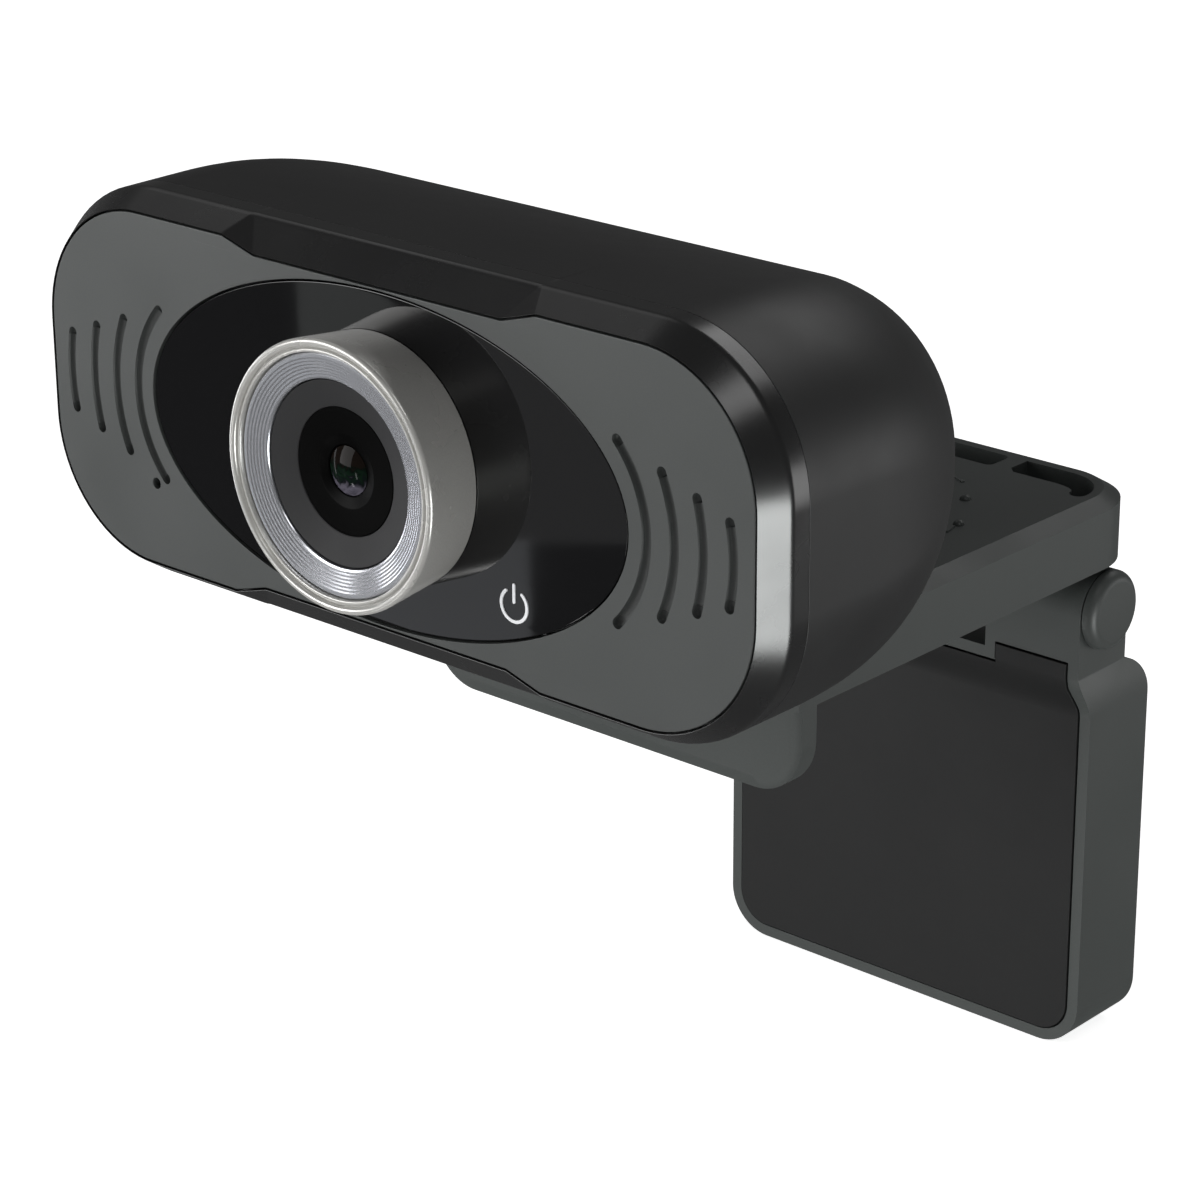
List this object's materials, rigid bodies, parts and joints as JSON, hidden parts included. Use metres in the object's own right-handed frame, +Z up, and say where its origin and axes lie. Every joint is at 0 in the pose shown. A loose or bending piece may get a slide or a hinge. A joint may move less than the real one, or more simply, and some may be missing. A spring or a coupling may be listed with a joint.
{
  "type": "clip-on webcam",
  "caption": "Wide camera head with a raised metal lens ring, on a swivelling and tilting arm, with a folding clip that hooks over the top of a monitor.",
  "frame": {"origin": "on the swivel axis, on the lower face of the platform's rubber pad, where the clip rests on the top edge of a monitor", "axes": "+Z up along the swivel axis; the lens looks along -Y; +X is to the right of someone who faces the lens, along the tilt and foot hinges"},
  "size_m": [0.104, 0.1104, 0.1169],
  "materials": {
    "face_grey": "fine satin grain",
    "shell_black": "satin",
    "clip_grey": "fine satin grain",
    "gloss_black": "mirror gloss",
    "ring_metal": "satin side, polished front edge",
    "dark_trim": "satin",
    "lens_glass": "coated optical glass",
    "rubber": "matte",
    "steel": "plain",
    "board_green": "solder mask",
    "chip_black": "moulded",
    "light_white": "translucent white"
  },
  "bodies": {
    "clip": {"clip_platform": "clip_grey", "platform_pad": "rubber", "lip_pad": "rubber"},
    "foot": {"clip_foot": "clip_grey", "foot_pad": "rubber", "hinge_pin": "steel", "hinge_cap_left": "clip_grey", "hinge_cap_right": "clip_grey", "hinge_washer_left": "steel", "hinge_washer_right": "steel"},
    "swivel": {"swivel_arm": "shell_black", "tilt_pin": "steel", "tilt_washer_left": "steel", "tilt_washer_right": "steel", "swivel_washer": "steel", "swivel_screw": "steel"},
    "head": {"front_bezel": "shell_black", "face_plate": "face_grey", "face_panel": "gloss_black", "power_light_guide": "light_white", "rear_housing": "shell_black", "cable_grommet": "rubber", "lens_ring": "ring_metal", "ring_insert": "ring_metal", "lens_annulus": "dark_trim", "lens_disc": "gloss_black", "front_lens": "lens_glass", "lens_barrel": "chip_black", "rear_lens": "lens_glass", "lens_holder": "chip_black", "camera_board": "board_green", "image_sensor": "chip_black", "infrared_filter": "lens_glass", "image_processor": "chip_black", "cord_connector": "light_white", "status_lamp": "light_white", "microphone": "steel", "microphone_boot": "rubber", "housing_screw_1": "steel", "housing_screw_2": "steel", "housing_screw_3": "steel", "housing_screw_4": "steel", "board_screw_1": "steel", "board_screw_2": "steel", "board_standoff_1": "shell_black", "board_standoff_2": "shell_black"}
  },
  "joints": [
    {"name": "head_swivel", "type": "hinge", "parent": "clip", "child": "swivel", "pos_m": [0, 0, 0.0089], "axis": [0, 0, 1], "range_deg": [-90, 90]},
    {"name": "head_tilt", "type": "hinge", "parent": "swivel", "child": "head", "pos_m": [0, -0.03, 0.0186], "axis": [1, 0, 0], "range_deg": [-30, 20]},
    {"name": "foot_hinge", "type": "hinge", "parent": "clip", "child": "foot", "pos_m": [0, 0.0257, -0.0052], "axis": [1, 0, 0], "range_deg": [-80, 85]}
  ]
}
